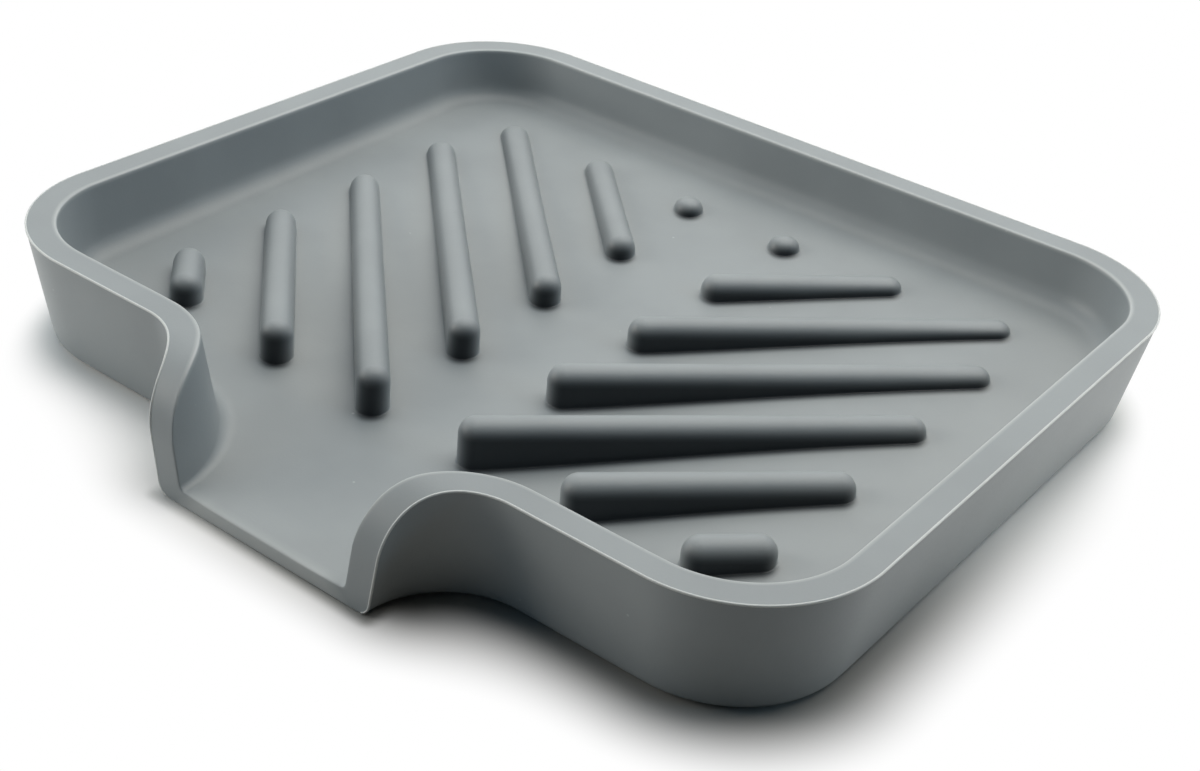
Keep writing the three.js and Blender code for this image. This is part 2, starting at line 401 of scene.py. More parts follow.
def close_group(tree, geometry, material):
    """Ends a tree in a plain mesh with its material."""
    shaded = tree.add("GeometryNodeSetShadeSmooth", inputs={"Geometry": geometry})
    solid = tree.add("GeometryNodeRealizeInstances", inputs={"Geometry": shaded})
    dressed = tree.add("GeometryNodeSetMaterial", inputs={"Geometry": solid, "Material": material})
    tree.add("NodeGroupOutput", inputs={"Geometry": dressed})


def linked_object(name, data):
    """A new object of the scene, with its mesh, lens or light."""
    made = bpy.data.objects.new(name, data)
    bpy.context.scene.collection.objects.link(made)
    return made


def square(name, half):
    """A level square mesh round the origin."""
    mesh = bpy.data.meshes.new(name)
    corners = [(-half, -half, 0.0), (half, -half, 0.0), (half, half, 0.0), (-half, half, 0.0)]
    mesh.from_pydata(corners, [], [(0, 1, 2, 3)])
    return mesh


def plain_mesh(piece):
    """Puts what the modifiers make of a piece in the place of its mesh."""
    bpy.context.view_layer.update()
    evaluated = piece.evaluated_get(bpy.context.evaluated_depsgraph_get())
    made = bpy.data.meshes.new_from_object(evaluated)
    piece.modifiers.clear()
    piece.data = made
    return piece


def grow(name, mesh, group, values):
    """Runs a Geometry Nodes tree on a mesh and keeps the result as a plain piece."""
    piece = linked_object(name, mesh)
    modifier = piece.modifiers.new(group.name, "NODES")
    modifier.node_group = group
    for item in group.interface.items_tree:
        if item.in_out == "INPUT" and item.name in values:
            modifier[item.identifier] = values[item.name]
    return plain_mesh(piece)


def settle(piece, *nodes):
    """Puts a finished piece on its body, in the place of its CAD nodes."""
    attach(piece, BODY)
    if nodes:
        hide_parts(*nodes)


# The form of the dish


class Station(NamedTuple):
    """A place on the rim's outer edge, seen from above, and the way out of the tray there."""

    place: Vector
    out: Vector

    def at(self, inset, height):
        """A point that lies inset from the rim's outer edge."""
        flat = self.place - inset * self.out
        return Vector((flat.x, flat.y, height))

    def mirrored(self):
        """The same station on the other side of the spout."""
        return Station(Vector((-self.place.x, self.place.y)), Vector((-self.out.x, self.out.y)))


def mix(first, second, factor):
    """The value between two numbers."""
    return first + (second - first) * factor


def smooth(factor):
    """0 to 1, with a soft start and a soft end."""
    factor = min(max(factor, 0.0), 1.0)
    return factor * factor * (3 - 2 * factor)


def turned(centre, radius, start, stop, steps):
    """Stations along an arc that bulges out of the tray."""
    turns = [mix(start, stop, i / steps) for i in range(steps + 1)]
    rays = [Vector((math.cos(turn), math.sin(turn))) for turn in turns]
    return [Station(centre + radius * ray, ray) for ray in rays]


def joined(stretches, run_step):
    """One line of stations, with steps along the straight walls between stretches."""
    line = list(stretches[0])
    for stretch in stretches[1:]:
        last, first = line[-1], stretch[0]
        steps = math.ceil((first.place - last.place).length / run_step)
        line += [Station(last.place.lerp(first.place, i / steps), first.out) for i in range(1, steps)]
        line += stretch
    return line


class DishForm:
    """The outlines and heights that the pieces share."""

    def __init__(self, tray, ribs):
        self.tray = tray
        self.ribs = ribs
        self.half_length = tray.length / 2
        self.half_width = tray.width / 2
        self.slope = tray.wall_lean / tray.height
        self.lean = math.atan(self.slope)
        self.rim_height = tray.height - tray.bead_rise
        self.lip_front = tray.wall_lean - self.half_width - tray.spout_reach + tray.bead_rise
        self.cheek_centre = tray.spout_width / 2 + tray.spout_reach
        self.cheek_radius = tray.spout_reach - tray.wall_lean
        self.cheek_base = Vector((self.lip_front + tray.cheek_round, self.rim_height - tray.cheek_round))
        self.floor_back = self.half_width - self.inner_inset(tray.floor_height)
        self.floor_side = self.half_length - self.inner_inset(tray.floor_height)
        self.lip_fall = tray.floor_height - tray.lip_thickness
        self.side_fall_at_lip = tray.side_fall * (self.floor_back - self.lip_front) / (2 * self.floor_back)

    def outer_inset(self, height):
        """How far a wall's outer face lies inside the rim's outer edge."""
        return self.tray.bead_rise + self.slope * (self.tray.height - height)

    def inner_inset(self, height):
        """How far a wall's inner face lies inside the rim's outer edge."""
        return self.tray.wall_thickness + self.slope * (self.tray.height - height)

    def rim_at(self, y):
        """Height of the rim, which falls over the cheeks."""
        reach = self.cheek_base.x - y
        if reach <= 0:
            return self.rim_height
        return self.cheek_base.y + math.sqrt(max(self.tray.cheek_round**2 - reach**2, 0.0))

    def rim_normal(self, y):
        """The way up out of the rim."""
        reach = min(max(self.cheek_base.x - y, 0.0) / self.tray.cheek_round, 1.0)
        return Vector((0.0, -reach, math.sqrt(1 - reach**2)))

    def floor_at(self, x, y):
        """Height of the floor, which falls to the lip, most in line with the spout."""
        start = self.ribs.channel_width / 2
        aside = smooth((abs(x) - start) / (self.floor_side - start))
        fall = mix(self.lip_fall, self.side_fall_at_lip, aside)
        return self.tray.floor_height - fall * (self.floor_back - y) / (self.floor_back - self.lip_front)

    def cheek_line(self, refine):
        """Stations along the right cheek, from its end to the front wall."""
        middle = self.cheek_radius + self.tray.wall_thickness / 2
        steps = CHEEK_FALL_STEPS * refine
        falls = [self.tray.cheek_round * (1 - math.cos(math.pi / 2 * i / steps)) for i in range(steps + 1)]
        turns = [math.asin(fall / middle) for fall in falls]
        steps = CHEEK_TURN_STEPS * refine
        turns += [mix(turns[-1], math.pi / 2, i / steps) for i in range(1, steps + 1)]
        centre = Vector((self.cheek_centre, self.lip_front))
        rays = [Vector((-math.cos(turn), math.sin(turn))) for turn in turns]
        return [Station(centre + self.cheek_radius * ray, -ray) for ray in rays]

    def rim_line(self, refine=1):
        """Stations round the rim, from the end of the right cheek to the end of the left one."""
        radius = self.tray.corner_radius
        corner = Vector((self.half_length - radius, self.half_width - radius))
        front = Vector((corner.x, -corner.y))
        steps = CORNER_STEPS * refine
        back_middle = Station(Vector((0.0, self.half_width)), Vector((0.0, 1.0)))
        right = joined(
            [
                self.cheek_line(refine),
                turned(front, radius, -math.pi / 2, 0.0, steps),
                turned(corner, radius, 0.0, math.pi / 2, steps),
                [back_middle],
            ],
            RUN_STEP / refine,
        )
        return right + [station.mirrored() for station in reversed(right[:-1])]

    def rim_edge(self, station, inset_at):
        """Where a face of the wall ends at the rim: its inset and height."""
        height = self.rim_height
        for _ in range(SETTLE_STEPS):
            inset = inset_at(height)
            height = self.rim_at(station.at(inset, height).y)
        return inset, height

    def foot_arc(self, station):
        """The rounding from the outer face to the underside."""
        radius = self.tray.foot_round
        middle = self.outer_inset(radius) + radius / math.cos(self.lean)
        angles = [mix(-self.lean, -math.pi / 2, i / FOOT_STEPS) for i in range(FOOT_STEPS + 1)]
        return [station.at(middle - radius * math.cos(a), radius * (1 + math.sin(a))) for a in angles]

    def floor_arc(self, station):
        """The fillet from the inner face to the floor, which thins out towards the lip."""
        from_lip = smooth((station.place.y - self.lip_front) / self.tray.spout_reach)
        radius = mix(self.tray.lip_fillet, self.tray.floor_fillet, from_lip)
        foot = station.at(self.inner_inset(self.tray.floor_height) + radius, 0.0)
        ahead = foot - radius * Vector((*station.out, 0.0))
        tilt = math.atan((self.floor_at(foot.x, foot.y) - self.floor_at(ahead.x, ahead.y)) / radius)
        for _ in range(SETTLE_STEPS):
            height = self.floor_at(foot.x, foot.y) + radius * math.cos(tilt)
            middle = self.inner_inset(height) + radius / math.cos(self.lean)
            foot = station.at(middle - radius * math.sin(tilt), 0.0)
        angles = [mix(self.lean, math.pi / 2 - tilt, i / FILLET_STEPS) for i in range(FILLET_STEPS + 1)]
        return [station.at(middle - radius * math.cos(a), height - radius * math.sin(a)) for a in angles]

    def fan(self):
        """The right fan's bounds, and the count, radius and gaps of its ribs."""
        return {
            "Count": self.ribs.count,
            "Radius": self.ribs.width / 2,
            "First gap": self.ribs.first_gap,
            "Last gap": self.ribs.last_gap,
            "Front": self.ribs.front_gap - self.half_width,
            "Side": self.half_length - self.ribs.side_gap,
            "Back": self.half_width - self.ribs.back_gap,
            "Channel side": self.ribs.channel_width / 2,
        }

    def wall_at(self, station):
        """The wall at a station: down its outside, across its rim and down its inside."""
        outer_inset, outer_top = self.rim_edge(station, self.outer_inset)
        inner_inset, inner_top = self.rim_edge(station, self.inner_inset)
        foot, fillet = self.foot_arc(station), self.floor_arc(station)
        outer_heights = face_heights(outer_top, self.tray.outer_round, foot[0].z, OUTER_ROWS)
        inner_heights = face_heights(inner_top, self.tray.inner_round, fillet[0].z, INNER_ROWS)
        outer = [station.at(self.outer_inset(height), height) for height in outer_heights]
        inner = [station.at(self.inner_inset(height), height) for height in inner_heights]
        across = [
            outer_inset + self.tray.outer_round,
            (outer_inset + inner_inset) / 2,
            inner_inset - self.tray.inner_round,
        ]
        rim = [station.at(inset, self.rim_at(station.at(inset, 0.0).y)) for inset in across]
        return outer + foot, rim, inner + fillet


def face_heights(top, edge, bottom, rows):
    """Heights of a face's rows: its edge, the row that keeps the edge tight, and even rows below."""
    return [top] + [mix(top - edge, bottom, i / (rows + 1)) for i in range(rows + 1)]


def fan_steps(size, cosine, sine):
    """How far the middles of a fan's first and last rib lie from its front outer corner."""
    across = (size["Back"] - size["Front"]) * cosine + (size["Side"] - size["Channel side"]) * sine
    return size["First gap"], across - size["Last gap"]


def rib_line(size, cosine, sine, step):
    """A point on the line of a rib at a step of the fan, and where the rib starts and ends on it."""
    x = size["Side"] - sine * step
    y = size["Front"] + cosine * step
    radius = size["Radius"]
    low = ((size["Channel side"] + radius - x) / cosine).at_least((size["Front"] + radius - y) / sine)
    high = ((size["Side"] - radius - x) / cosine).at_most((size["Back"] - radius - y) / sine)
    return x, y, low, high


# Materials


def painted_shade(tree, place, form, finish):
    """Painted shade round the feet of the ribs, shifted the way a cast shadow falls: 1 where it is full, 0
    away from them.
    """
    size = form.fan()
    cosine, sine = math.cos(form.ribs.turn), math.sin(form.ribs.turn)
    flat = tree.add("ShaderNodeSeparateXYZ", inputs={0: place})
    x = abs(flat - finish.painted_shade_drift[0]) - size["Side"]
    y = flat.output("Y") - (finish.painted_shade_drift[1] + size["Front"])
    first, last = fan_steps(size, cosine, sine)
    pitch = (last - first) / (size["Count"] - 1)
    step = cosine * y - sine * x
    number = ((step - first) / pitch).rounded().at_least(0.0).at_most(size["Count"] - 1)
    nearest = first + pitch * number
    across = step - nearest
    along = cosine * x + sine * y
    _, _, low, high = rib_line(size, cosine, sine, nearest)
    beyond = (low - along).at_least(along - high).at_least(0.0)
    away = (across * across + beyond * beyond).root() - size["Radius"]
    return tree.ramp(away, finish.painted_shade_fade, -finish.painted_shade_depth)


def silicone(name, form, finish, painted_highlight):
    """Matte silicone: cloudy tone, fine grain, specks, painted shade round the feet of the ribs and a painted
    highlight on the edges that is at least so strong.
    """
    material = bpy.data.materials.new(name)
    tree = empty_tree(material)
    place = tree.add("ShaderNodeTexCoord", output="Object")
    cloud = tree.add(
        "ShaderNodeTexNoise",
        inputs={"Vector": place, "Scale": 1 / finish.cloud_size, "Detail": CLOUD_DETAIL},
    )
    grain = tree.add(
        "ShaderNodeTexNoise",
        inputs={"Vector": place, "Scale": 1 / finish.grain_size, "Detail": GRAIN_DETAIL},
    )
    cell = tree.add(
        "ShaderNodeTexVoronoi", inputs={"Vector": place, "Scale": 1 / finish.speck_spacing}, output="Distance"
    )
    reach = finish.speck_size / finish.speck_spacing
    speck = tree.ramp(cell, 2 * reach, reach)
    edge = tree.add("ShaderNodeAttribute", {"attribute_name": HIGHLIGHT_MASK}, output="Fac")
    mottling = tree.ramp(cloud, CLOUD_LOW, CLOUD_HIGH)
    tone = tree.blend(mottling, (*finish.deep, 1.0), (*finish.pale, 1.0))
    tone = tree.blend(speck * SPECK_STRENGTH, tone, (*finish.speck, 1.0))
    # Painted shade round the feet of the ribs
    hollow = tree.add("ShaderNodeAttribute", {"attribute_name": SHADE_MASK}, output="Fac")
    tone = tree.blend(hollow * painted_shade(tree, place, form, finish), tone, (*finish.painted_shade, 1.0))
    # Painted highlight along the edges
    tone = tree.blend((edge * finish.edge_highlight).at_least(painted_highlight), tone, (*finish.edge, 1.0))
    roughness = finish.roughness + finish.roughness_spread * (grain + cloud - 1.0)
    bump = tree.add("ShaderNodeBump", inputs={"Height": grain, "Distance": finish.grain_depth})
    shader = tree.add(
        "ShaderNodeBsdfPrincipled",
        inputs={"Base Color": tone, "Roughness": roughness, "IOR": SILICONE_IOR, "Normal": bump},
    )
    tree.add("ShaderNodeOutputMaterial", inputs={"Surface": shader})
    return material


# Operators


class SOAP_OT_make_stage(bpy.types.Operator):
    """Set up the camera, the white table and the light"""

    bl_idname = "soap_dish.make_stage"
    bl_label = "Stage"

    def execute(self, context):
        scene = context.scene
        studio = scene.soap_studio
        self.make_camera(scene, studio)
        self.make_table(scene)
        self.make_flag(studio)
        self.make_sky(scene, studio)
        for lamp in LAMPS:
            self.make_lamp(lamp, studio)
        scene.view_settings.view_transform = "Standard"
        return {"FINISHED"}

    def sight(self, studio, distance):
        """A frame on the line of sight: its X points right, its Y up and its Z back from the aim."""
        turn, rise, roll = studio.camera_turn, studio.camera_rise, studio.camera_roll
        back = Vector((math.sin(turn) * math.cos(rise), -math.cos(turn) * math.cos(rise), math.sin(rise)))
        right = Vector((0.0, 0.0, 1.0)).cross(back).normalized()
        up = back.cross(right)
        axes = Matrix((right, up, back)).transposed() @ Matrix.Rotation(roll, 3, "Z")
        return Matrix.Translation(Vector(studio.camera_aim) + distance * back) @ axes.to_4x4()

    def make_camera(self, scene, studio):
        """The scene's camera, which looks at its aim on the table."""
        lens = bpy.data.cameras.new("camera")
        lens.sensor_fit = "HORIZONTAL"
        lens.sensor_width = SENSOR_WIDTH
        lens.lens = studio.focal_length
        lens.clip_start = CLIP_START
        camera = linked_object("camera", lens)
        camera.matrix_world = self.sight(studio, studio.camera_distance)
        scene.camera = camera

    def make_flag(self, studio):
        """A black flag behind the camera, which keeps light off the faces that look at it."""
        mesh = square("flag", studio.flag_size / 2)
        shift = Matrix.Translation((*studio.flag_shift, 0.0))
        mesh.transform(self.sight(studio, studio.flag_distance) @ shift)
        flag = linked_object("flag", mesh)
        flag.visible_camera = False
        material = bpy.data.materials.new("black_flag")
        tree = empty_tree(material)
        matte = tree.add("ShaderNodeBsdfDiffuse", inputs={"Color": FLAG_TONE})
        tree.add("ShaderNodeOutputMaterial", inputs={"Surface": matte})
        mesh.materials.append(material)

    def make_table(self, scene):
        """A wide table, darker in front, that looks plain white a little way from the dish."""
        studio, tray = scene.soap_studio, scene.soap_tray
        mesh = square("table", TABLE_REACH)
        mesh.transform(Matrix.Translation((0.0, 0.0, -TABLE_DEPTH)))
        table = linked_object("table", mesh)
        material = bpy.data.materials.new("white_table")
        tree = empty_tree(material)
        place = tree.add("ShaderNodeTexCoord", output="Object")
        x = tree.add("ShaderNodeSeparateXYZ", inputs={0: place})
        y = x.output("Y")
        towards = math.sin(studio.camera_turn) * x - math.cos(studio.camera_turn) * y
        nearness = tree.ramp(towards, 0.0, tray.width * FADE_SHARE)
        fade = studio.far_fade + (studio.near_fade - studio.far_fade) * nearness
        from_dish, from_lip = self.clearances(tree, tray, x, y)
        bare = tree.ramp(from_dish / fade, 0.0, 1.0) * tree.ramp(from_lip, 0.0, studio.lip_fade)
        in_front = tree.ramp(towards, tray.width * SHADE_START_SHARE, tray.width * SHADE_STOP_SHARE)
        tone = tree.blend(in_front, (*studio.table_tone, 1.0), (*studio.shade_tone, 1.0))
        matte = tree.add("ShaderNodeBsdfDiffuse", inputs={"Color": tone})
        white = tree.add("ShaderNodeEmission", inputs={"Color": WHITE, "Strength": 1.0})
        factor = self.seen(tree) * bare
        shader = tree.add("ShaderNodeMixShader", inputs={0: factor, 1: matte, 2: white})
        tree.add("ShaderNodeOutputMaterial", inputs={"Surface": shader})
        mesh.materials.append(material)

    def clearances(self, tree, tray, x, y):
        """How far a place on the table lies from the dish's foot, and from the lip."""
        walls = (tray.length / 2 - tray.corner_radius, tray.width / 2 - tray.corner_radius)
        from_walls = self.outside(x, y, *walls) - (tray.corner_radius - tray.wall_lean)
        lip_front = tray.width / 2 - tray.wall_lean + tray.spout_reach
        spout_middle = lip_front - tray.spout_reach / 2
        from_spout = self.outside(x, y + spout_middle / 2, tray.spout_width / 2, spout_middle / 2)
        from_lip = self.outside(x, y + lip_front / 2, tray.spout_width / 2, lip_front / 2)
        from_dish = tree.add(
            "ShaderNodeMath",
            {"operation": "SMOOTH_MIN"},
            {0: from_walls, 1: from_spout, 2: 2 * tray.spout_reach},
        )
        return from_dish, from_lip

    def seen(self, tree):
        """1 for what the eye sees, also in a mirror or through glass, and 0 for what only lights the dish."""
        path = tree.add("ShaderNodeLightPath", output="Is Camera Ray")
        return path.at_least(path.output("Is Glossy Ray")).at_least(path.output("Is Transmission Ray"))

    def outside(self, x, y, half_length, half_width):
        """How far a place lies outside a rectangle."""
        aside = (abs(x) - half_length).at_least(0.0)
        ahead = (abs(y) - half_width).at_least(0.0)
        return (aside * aside + ahead * ahead).root()

    def make_sky(self, scene, studio):
        """White to the eye and in reflections, and a soft cool light everywhere else."""
        world = bpy.data.worlds.new("studio_sky")
        tree = empty_tree(world)
        soft = tree.add(
            "ShaderNodeBackground", inputs={"Color": (*studio.sky_tone, 1.0), "Strength": studio.sky_level}
        )
        white = tree.add("ShaderNodeBackground", inputs={"Color": WHITE, "Strength": 1.0})
        shader = tree.add("ShaderNodeMixShader", inputs={0: self.seen(tree), 1: soft, 2: white})
        tree.add("ShaderNodeOutputWorld", inputs={"Surface": shader})
        scene.world = world

    def make_lamp(self, lamp, studio):
        """An area lamp that shines on the middle of the dish."""
        light = bpy.data.lights.new(lamp.name, "AREA")
        light.shape = "RECTANGLE"
        light.size, light.size_y = lamp.sides
        light.energy = getattr(studio, lamp.power)
        light.color = getattr(studio, lamp.tone)
        made = linked_object(lamp.name, light)
        made.location = lamp.place
        made.rotation_euler = Vector(lamp.place).to_track_quat("Z", "Y").to_euler()
        made.visible_camera = False


class SOAP_OT_make_tray(bpy.types.Operator):
    """Mould the walls, the floor and the spout"""

    bl_idname = "soap_dish.make_tray"
    bl_label = "Tray"

    def execute(self, context):
        scene = context.scene
        form = DishForm(scene.soap_tray, scene.soap_ribs)
        shell = bmesh.new()
        # Masks for the painted highlight and light on the edges and the lip, and for painted shade on the
        # floor
        painted_highlight = shell.verts.layers.float.new(HIGHLIGHT_MASK)
        hollow = shell.verts.layers.float.new(SHADE_MASK)
        outer, rims, inner = [], [], []
        for station in form.rim_line():
            faces = [[shell.verts.new(point) for point in face] for face in form.wall_at(station)]
            outer.append(faces[0])
            rims.append([faces[0][0], *faces[1], faces[2][0]])
            inner.append(faces[2])
        self.skin(shell, outer)
        self.skin(shell, inner)
        lip_foot, lip_top = self.lip_edges(shell, form, outer, inner)
        right = self.cheek_end(shell, form, outer[0], inner[0])
        left = self.cheek_end(shell, form, outer[-1], inner[-1])
        lip = [self.band(shell, form, low, high) for low, high in zip(lip_foot, lip_top)]
        ribbon = rims + left + lip + right[::-1]
        self.skin(shell, ribbon + ribbon[:1])
        self.mark_highlight(form, painted_highlight, rims, lip)
        floor_loop = [column[-1] for column in inner] + lip_top
        # The whole floor may take painted shade round the feet of the ribs
        for vertex in self.fill(shell, floor_loop, FLOOR_RINGS, scene.soap_tray.inner_round, form.floor_at):
            vertex[hollow] = 1.0
        foot_loop = [column[-1] for column in outer] + lip_foot
        self.fill(shell, foot_loop, UNDERSIDE_RINGS, scene.soap_tray.outer_round, lambda x, y: 0.0)
        bmesh.ops.recalc_face_normals(shell, faces=shell.faces)
        mesh = bpy.data.meshes.new("soap_tray")
        shell.to_mesh(mesh)
        shell.free()
        mesh.shade_smooth()
        mesh.materials.append(silicone("moulded_silicone", form, scene.soap_finish, 0.0))
        tray = linked_object("soap_tray", mesh)
        smoothing = tray.modifiers.new("smoothing", "SUBSURF")
        smoothing.levels = SUBDIVISIONS
        smoothing.render_levels = SUBDIVISIONS
        settle(plain_mesh(tray), "tray_shell")
        return {"FINISHED"}

    def mark_highlight(self, form, painted_highlight, rims, lip):
        """Marks a painted highlight on the rim's inner edge, strongest where it is level, and painted light
        on the lip.
        """
        for crossing in rims:
            edge = crossing[-1]
            edge[painted_highlight] = form.rim_normal(edge.co.y).z ** 2
        for crossing in lip:
            for vertex in crossing:
                vertex[painted_highlight] = LIP_HIGHLIGHT

    def skin(self, shell, columns):
        """Quads between neighbouring columns of points."""
        for here, there in zip(columns, columns[1:]):
            for i in range(len(here) - 1):
                shell.faces.new((here[i], there[i], there[i + 1], here[i + 1]))

    def band(self, shell, form, low, high):
        """A row of points across the end of the wall or the lip, from its outer to its inner edge."""
        span = high.co - low.co
        width = span.length
        parts = (form.tray.outer_round / width, 0.5, 1 - form.tray.inner_round / width)
        return [low, *[shell.verts.new(low.co + part * span) for part in parts], high]

    def cheek_end(self, shell, form, outer, inner):
        """Rows across the end of a cheek, from below its rim to the underside."""
        return [self.band(shell, form, low, high) for low, high in zip(outer[1:], inner[1:])]

    def lip_edges(self, shell, form, outer, inner):
        """The lip's lower and upper edges, from left to right."""
        foot, top = [], []
        for i in range(1, LIP_STEPS):
            along = i / LIP_STEPS
            foot.append(shell.verts.new(outer[-1][-1].co.lerp(outer[0][-1].co, along)))
            x = mix(inner[-1][-1].co.x, inner[0][-1].co.x, along)
            top.append(shell.verts.new((x, form.lip_front, form.floor_at(x, form.lip_front))))
        return foot, top

    def fill(self, shell, loop, rings, edge, height_at):
        """Fills a loop with rings that shrink to the middle. The first one keeps the edge tight."""
        flats = [vertex.co.xy for vertex in loop]
        columns = [[vertex] for vertex in loop]
        for column, flat in zip(columns, flats):
            tight = 1 - edge / flat.length
            for ring in range(rings):
                x, y = flat * mix(tight, 0.0, ring / rings)
                column.append(shell.verts.new((x, y, height_at(x, y))))
        self.skin(shell, columns + columns[:1])
        middle = shell.verts.new((0.0, 0.0, height_at(0.0, 0.0)))
        for here, there in zip(columns, columns[1:] + columns[:1]):
            shell.faces.new((here[-1], there[-1], middle))
        return [middle, *(vertex for column in columns for vertex in column)]


class SOAP_OT_make_bead(bpy.types.Operator):
    """Run the parting line's bead along the rim's outer edge and down both cheeks"""

    bl_idname = "soap_dish.make_bead"
    bl_label = "Rim bead"

    def execute(self, context):
        scene = context.scene
        form = DishForm(scene.soap_tray, scene.soap_ribs)
        points = self.path(form)
        mesh = bpy.data.meshes.new("rim_bead_path")
        mesh.from_pydata(points, [(i, i + 1) for i in range(len(points) - 1)], [])
        group, tree, wires = node_group(
            "Bead along a path", {"Radius": "NodeSocketFloat", "Material": "NodeSocketMaterial"}
        )
        path = tree.add("GeometryNodeMeshToCurve", inputs={"Mesh": wires["Geometry"]})
        ring = tree.add(
            "GeometryNodeCurvePrimitiveCircle", inputs={"Resolution": BEAD_FACETS, "Radius": wires["Radius"]}
        )
        bead = tree.add(
            "GeometryNodeCurveToMesh", inputs={"Curve": path, "Profile Curve": ring, "Fill Caps": True}
        )
        close_group(tree, bead, wires["Material"])
        values = {
            "Radius": scene.soap_tray.bead_radius,
            # The bead's material paints a highlight along the parting line
            "Material": silicone("rubbed_parting_line", form, scene.soap_finish, BEAD_HIGHLIGHT),
        }
        settle(grow("rim_bead", mesh, group, values))
        return {"FINISHED"}

    def path(self, form):
        """The bead's middle line: up the right cheek's end, round the rim and down the left one's."""
        depth = form.tray.bead_radius - form.tray.bead_rise
        stations = form.rim_line(BEAD_REFINE)
        line = []
        for station in stations:
            inset, height = form.rim_edge(station, form.outer_inset)
            edge = station.at(inset + depth, height)
            line.append(edge - depth * form.rim_normal(edge.y))
        right = self.cheek_end(form, stations[0], depth)
        left = self.cheek_end(form, stations[-1], depth)
        return right[::-1] + line + left

    def cheek_end(self, form, station, depth):
        """The middle line down the end of a cheek, from below its rim to the underside."""
        _, top = form.rim_edge(station, form.outer_inset)
        foot = form.foot_arc(station)
        # The first two rows lie on the rim, where the line already runs
        _, _, *heights = face_heights(top, 0.0, foot[0].z, OUTER_ROWS)
        back = Vector((0.0, depth, 0.0))
        inward = station.at(depth, 0.0) - station.at(0.0, 0.0) + back
        line = [station.at(form.outer_inset(height), height) + inward for height in heights]
        radius = form.tray.foot_round
        middle = station.at(form.outer_inset(radius) + radius, radius)
        for point in foot[:-1]:
            line.append(point + (middle - point).normalized() * depth + back)
        return line


def reached(row, number):
    """1 from a numbered row on, and 0 before it."""
    return row > number - 0.5


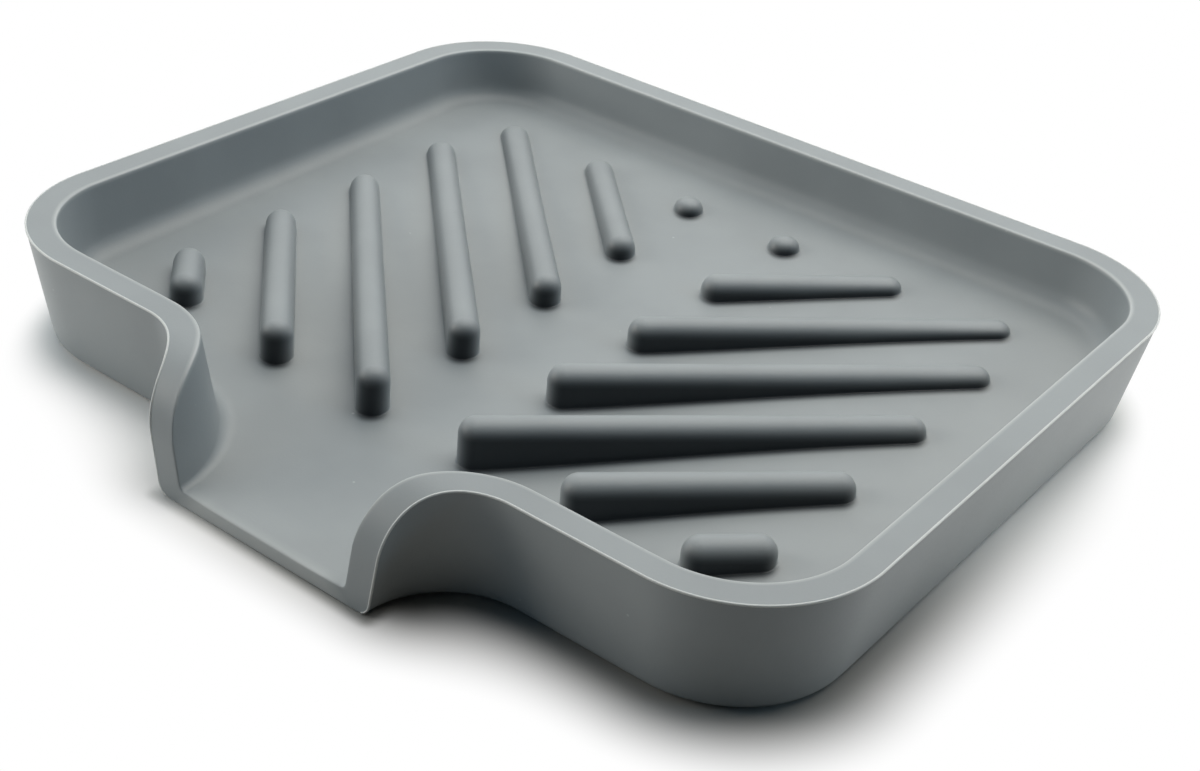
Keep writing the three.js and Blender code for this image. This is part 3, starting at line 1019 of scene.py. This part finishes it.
class SOAP_OT_make_ribs(bpy.types.Operator):
    """Raise both fans of level ribs from the floor"""

    bl_idname = "soap_dish.make_ribs"
    bl_label = "Ribs"

    def execute(self, context):
        scene = context.scene
        form = DishForm(scene.soap_tray, scene.soap_ribs)
        ribs = scene.soap_ribs
        values = {
            **form.fan(),
            "Top": scene.soap_tray.floor_height + ribs.rise,
            "Foot fillet": ribs.foot_fillet,
            "Sink": ribs.sink,
            "Turn": ribs.turn,
            "Floor height": scene.soap_tray.floor_height,
            "Floor back": form.floor_back,
            "Floor side": form.floor_side,
            "Lip front": form.lip_front,
            "Lip fall": form.lip_fall,
            "Side fall": form.side_fall_at_lip,
            "Material": bpy.data.materials["moulded_silicone"],
        }
        mesh = bpy.data.meshes.new("rib_seed")
        names = [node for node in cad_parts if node.startswith("rib_")]
        settle(grow("soap_ribs", mesh, self.make_tree(values), values), *names)
        return {"FINISHED"}

    def make_tree(self, values):
        """Grids that are bent into capsule-shaped bars whose feet follow the floor."""
        kinds = {"Count": "NodeSocketInt", "Material": "NodeSocketMaterial"}
        sockets = {name: kinds.get(name, "NodeSocketFloat") for name in values}
        group, tree, size = node_group("Fans of ribs", sockets)
        bars = self.lay_bars(tree, size)
        kept = {
            name: tree.add("GeometryNodeInputNamedAttribute", {"data_type": "FLOAT"}, {"Name": name})
            for name in ("hand", "start_x", "start_y", "run", "column", "row")
        }
        x, y, height = self.bend(tree, size, kept)
        place = tree.add("ShaderNodeCombineXYZ", inputs={"X": x * kept["hand"], "Y": y, "Z": height})
        bent = tree.add("GeometryNodeSetPosition", inputs={"Geometry": bars, "Position": place})
        turned_out = tree.add("GeometryNodeFlipFaces", inputs={"Mesh": bent, "Selection": kept["hand"] > 0.0})
        # Painted shade darkens a rib's sides towards its foot
        hollow = tree.ramp(kept["row"], RIB_SHADE_ROW, RIB_CROWN_STEPS)
        shade_marked = self.store(tree, turned_out, SHADE_MASK, hollow)
        closed = tree.add(
            "GeometryNodeMergeByDistance", inputs={"Geometry": shade_marked, "Distance": MERGE_DISTANCE}
        )
        close_group(tree, closed, size["Material"])
        return group

    def lay_bars(self, tree, size):
        """One flat grid for each rib, which carries where the rib starts and how far it runs."""
        total = size["Count"] * 2
        points = tree.add("GeometryNodePoints", inputs={"Count": total})
        index = tree.add("GeometryNodeInputIndex")
        left = (index / size["Count"]).floor()
        number = index % size["Count"]
        cosine, sine = size["Turn"].cosine(), size["Turn"].sine()
        first, last = fan_steps(size, cosine, sine)
        step = first + (last - first) * number / (size["Count"] - 1)
        x, y, low, high = rib_line(size, cosine, sine, step)
        facts = {
            "hand": 1 - 2 * left,
            "start_x": x + cosine * low,
            "start_y": y + sine * low,
            "run": high - low,
        }
        columns = 2 * (RIB_END_STEPS + RIB_RUN_STEPS)
        rows = RIB_LAST_ROW
        grid = tree.add(
            "GeometryNodeMeshGrid",
            inputs={"Size X": columns, "Size Y": rows, "Vertices X": columns + 1, "Vertices Y": rows + 1},
        )
        place = tree.add("ShaderNodeSeparateXYZ", inputs={0: tree.add("GeometryNodeInputPosition")})
        grid = self.store(tree, grid, "column", (place + columns / 2).rounded())
        grid = self.store(tree, grid, "row", (place.output("Y") + rows / 2).rounded())
        for name, value in facts.items():
            points = self.store(tree, points, name, value)
        bars = tree.add("GeometryNodeInstanceOnPoints", inputs={"Points": points, "Instance": grid})
        return tree.add("GeometryNodeRealizeInstances", inputs={"Geometry": bars})

    def store(self, tree, geometry, name, value):
        """Keeps a number with each point."""
        return tree.add(
            "GeometryNodeStoreNamedAttribute",
            {"data_type": "FLOAT", "domain": "POINT"},
            {"Geometry": geometry, "Name": name, "Value": value},
        )

    def bend(self, tree, size, kept):
        """Where a grid's point lies on its rib, on the side where x is positive."""
        half = RIB_END_STEPS + RIB_RUN_STEPS
        column = kept["column"] % (2 * half)
        far_side = (column / half).floor()
        step = column - far_side * half
        arc = step.at_most(RIB_END_STEPS) / RIB_END_STEPS
        run = (step - RIB_END_STEPS).at_least(0.0) / RIB_RUN_STEPS
        along = abs(1 - far_side - run) * kept["run"]
        facing = size["Turn"] + math.pi * (far_side + arc - 0.5)
        row = kept["row"]
        crown = math.pi / 2 * (1 - (row / RIB_CROWN_STEPS).at_most(1.0))
        foot = math.pi / 2 * ((row - RIB_FOOT_ROW) / RIB_FOOT_STEPS).at_least(0.0).at_most(1.0)
        fillet = size["Foot fillet"]
        spread = size["Radius"] * crown.cosine() + fillet * (1 - foot.cosine())
        radius = spread * (1 - reached(row, RIB_LAST_ROW))
        x = kept["start_x"] + along * size["Turn"].cosine() + radius * facing.cosine()
        y = kept["start_y"] + along * size["Turn"].sine() + radius * facing.sine()
        floor = self.floor_at(tree, size, x, y)
        bulge = size["Radius"].at_most(size["Top"] - floor - fillet)
        crown_height = size["Top"] - bulge * (1 - crown.sine())
        foot_height = floor + fillet * (1 - foot.sine()) - size["Sink"] * reached(row, RIB_SINK_ROW)
        return x, y, crown_height + (foot_height - crown_height) * reached(row, RIB_FOOT_ROW)

    def floor_at(self, tree, size, x, y):
        """Height of the floor, by the same rule as the tray's."""
        aside = tree.ramp(abs(x), size["Channel side"], size["Floor side"])
        fall = size["Lip fall"] + (size["Side fall"] - size["Lip fall"]) * aside
        towards_lip = (size["Floor back"] - y) / (size["Floor back"] - size["Lip front"])
        return size["Floor height"] - fall * towards_lip


class SOAP_PT_sidebar(bpy.types.Panel):
    """Sizes, finishes and pieces of the soap dish"""

    bl_idname = "SOAP_PT_sidebar"
    bl_label = "Soap dish"
    bl_space_type = "VIEW_3D"
    bl_region_type = "UI"
    bl_category = "Soap dish"

    def draw(self, context):
        for operator in OPERATORS:
            self.layout.operator(operator.bl_idname)
        for name, group in SETTINGS.items():
            box = self.layout.box()
            box.label(text=group.__doc__)
            for prop in group.__annotations__:
                box.prop(getattr(context.scene, name), prop)


SETTINGS = {
    "soap_tray": TraySizes,
    "soap_ribs": RibSizes,
    "soap_finish": SiliconeFinish,
    "soap_studio": StudioSettings,
}
OPERATORS = (SOAP_OT_make_stage, SOAP_OT_make_tray, SOAP_OT_make_bead, SOAP_OT_make_ribs)
CLASSES = (*SETTINGS.values(), *OPERATORS, SOAP_PT_sidebar)


def register():
    for cls in CLASSES:
        bpy.utils.register_class(cls)
    for name, group in SETTINGS.items():
        setattr(bpy.types.Scene, name, PointerProperty(type=group))


def unregister():
    for name in SETTINGS:
        delattr(bpy.types.Scene, name)
    for cls in reversed(CLASSES):
        bpy.utils.unregister_class(cls)


def main():
    """Registers the classes and makes the stage and the pieces."""
    register()
    bpy.ops.soap_dish.make_stage()
    bpy.ops.soap_dish.make_tray()
    bpy.ops.soap_dish.make_bead()
    bpy.ops.soap_dish.make_ribs()


if __name__ == "__main__":
    main()
